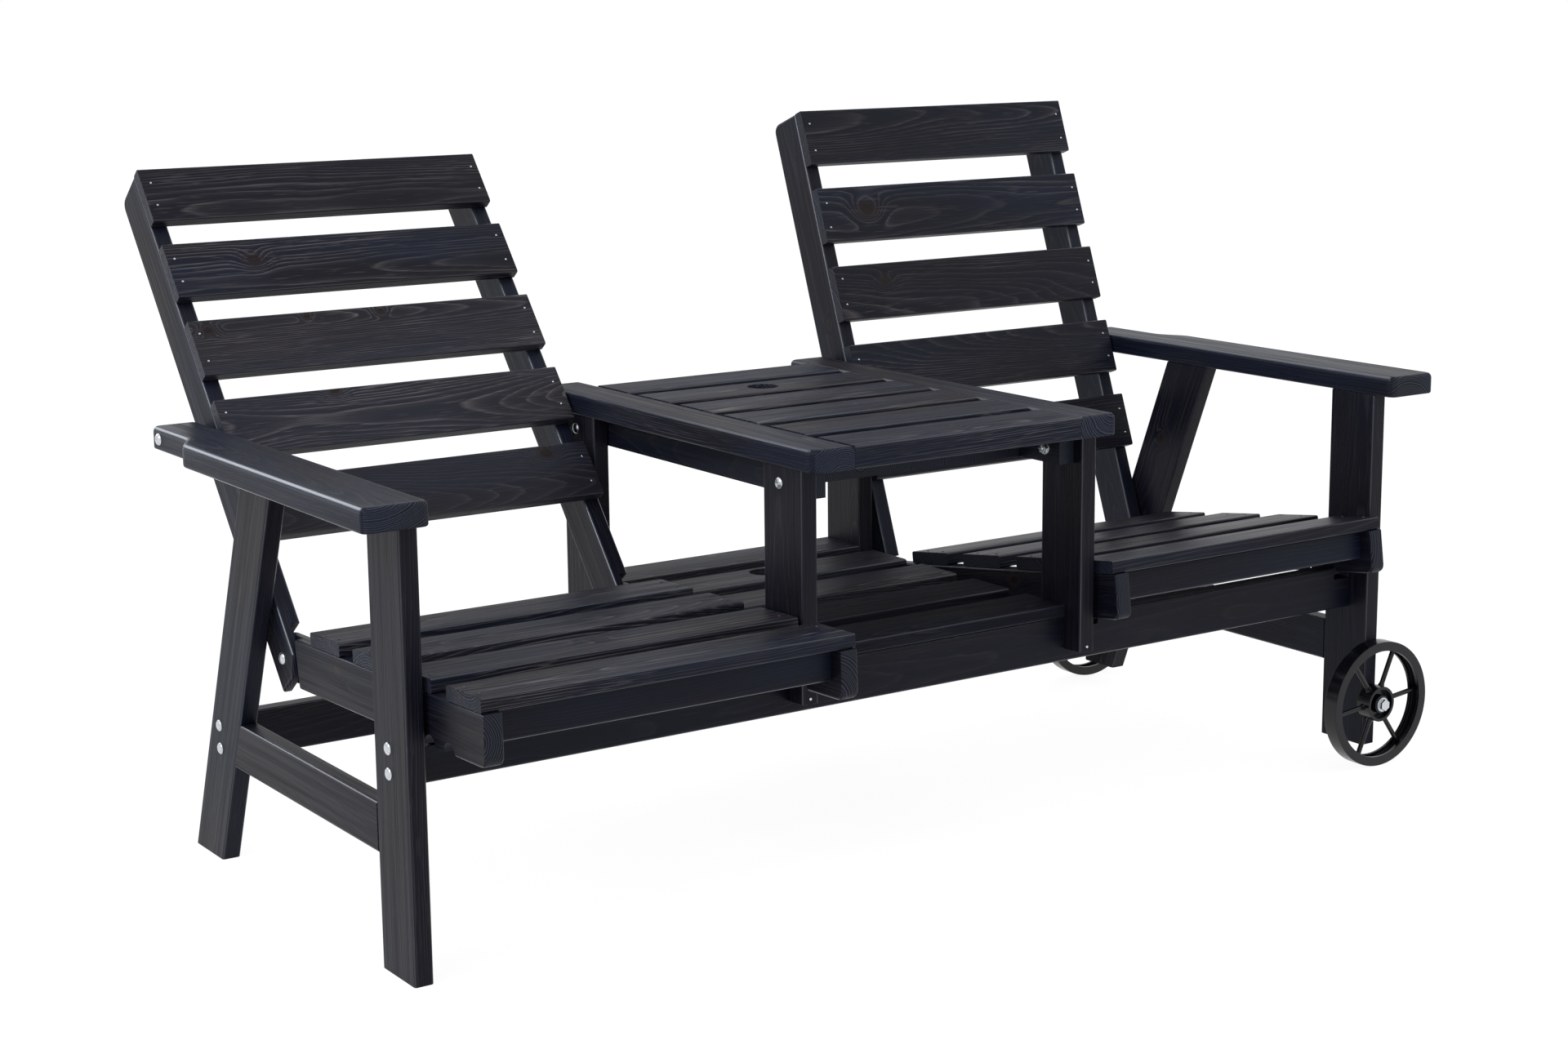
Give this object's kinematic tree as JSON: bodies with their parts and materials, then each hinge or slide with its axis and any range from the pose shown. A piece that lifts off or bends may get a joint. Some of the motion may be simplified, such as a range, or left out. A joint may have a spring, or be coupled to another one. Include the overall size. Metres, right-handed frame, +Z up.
{
  "type": "outdoor bench",
  "caption": "Two-seat stained wooden garden bench with reclining slatted chairs either side of a slatted table with shelf and parasol holes, on legs and spoked wheels.",
  "frame": {"origin": "centre of the bounding box on the floor", "axes": "+X along the bench towards the wheels, +Y from the front to the rear, +Z up"},
  "size_m": [1.926, 1.1432, 1.0651],
  "materials": {
    "frame_wood": "black translucent stain, satin",
    "top_wood": "black translucent stain, satin, grain showing",
    "chair_wood": "black translucent stain, satin",
    "zinc_steel": "bright zinc plating",
    "wheel_metal": "black gloss coating"
  },
  "bodies": {
    "frame": {"armrest_left": "top_wood", "armrest_right": "top_wood", "axle_bolt_front": "zinc_steel", "axle_bolt_rear": "zinc_steel", "front_rail": "frame_wood", "left_back_bolt_left": "zinc_steel", "left_back_bolt_right": "zinc_steel", "leg_front_left": "frame_wood", "leg_front_right": "frame_wood", "leg_rear_left": "frame_wood", "leg_rear_right": "frame_wood", "post_front_left": "frame_wood", "post_front_right": "frame_wood", "post_rear_left": "frame_wood", "post_rear_right": "frame_wood", "rear_rail": "frame_wood", "right_back_bolt_left": "zinc_steel", "right_back_bolt_right": "zinc_steel", "shelf_deck": "frame_wood", "shelf_parasol_slat": "frame_wood", "stretcher_left": "frame_wood", "stretcher_right": "frame_wood", "table_deck": "top_wood", "table_parasol_slat": "top_wood", "table_plank_left": "top_wood", "table_plank_right": "top_wood"},
    "left_back": {"left_back_slat_1": "chair_wood", "left_back_slat_2": "chair_wood", "left_back_slat_3": "chair_wood", "left_back_slat_4": "chair_wood", "left_back_slat_5": "chair_wood", "left_back_stile_left": "chair_wood", "left_back_stile_right": "chair_wood", "left_seat_bolt_left": "zinc_steel", "left_seat_bolt_right": "zinc_steel"},
    "right_back": {"right_back_slat_1": "chair_wood", "right_back_slat_2": "chair_wood", "right_back_slat_3": "chair_wood", "right_back_slat_4": "chair_wood", "right_back_slat_5": "chair_wood", "right_back_stile_left": "chair_wood", "right_back_stile_right": "chair_wood", "right_seat_bolt_left": "zinc_steel", "right_seat_bolt_right": "zinc_steel"},
    "left_seat": {"left_seat_apron": "chair_wood", "left_seat_rail_left": "chair_wood", "left_seat_rail_right": "chair_wood", "left_seat_slat_1": "chair_wood", "left_seat_slat_2": "chair_wood", "left_seat_slat_3": "chair_wood", "left_seat_slat_4": "chair_wood"},
    "right_seat": {"right_seat_apron": "chair_wood", "right_seat_rail_left": "chair_wood", "right_seat_rail_right": "chair_wood", "right_seat_slat_1": "chair_wood", "right_seat_slat_2": "chair_wood", "right_seat_slat_3": "chair_wood", "right_seat_slat_4": "chair_wood"},
    "front_wheel": {"wheel_front": "wheel_metal"},
    "rear_wheel": {"wheel_rear": "wheel_metal"}
  },
  "joints": [
    {"name": "left_back_recline", "type": "hinge", "parent": "frame", "child": "left_back", "pos_m": [-0.012, 0.27642, 0.6353], "axis": [1, 0, 0], "range_deg": [0, 18.82]},
    {"name": "left_seat_swing", "type": "hinge", "parent": "left_back", "child": "left_seat", "pos_m": [-0.012, 0.04183, 0.34274], "axis": [1, 0, 0], "range_deg": [-25.21, 0]},
    {"name": "right_back_recline", "type": "hinge", "parent": "frame", "child": "right_back", "pos_m": [-0.012, 0.27642, 0.6353], "axis": [1, 0, 0], "range_deg": [-18.82, 0]},
    {"name": "right_seat_swing", "type": "hinge", "parent": "right_back", "child": "right_seat", "pos_m": [-0.012, 0.14872, 0.28271], "axis": [1, 0, 0], "range_deg": [0, 25.21]},
    {"name": "front_wheel_roll", "type": "hinge", "parent": "frame", "child": "front_wheel", "pos_m": [0.858, -0.43288, 0.105], "axis": [0, 1, 0], "continuous": true},
    {"name": "rear_wheel_roll", "type": "hinge", "parent": "frame", "child": "rear_wheel", "pos_m": [0.858, 0.29763, 0.105], "axis": [0, 1, 0], "continuous": true}
  ],
  "couplings": [
    {"joint": "left_seat_swing", "follows": "left_back_recline", "ratio": -1.3345},
    {"joint": "right_seat_swing", "follows": "right_back_recline", "ratio": -1.3345}
  ]
}
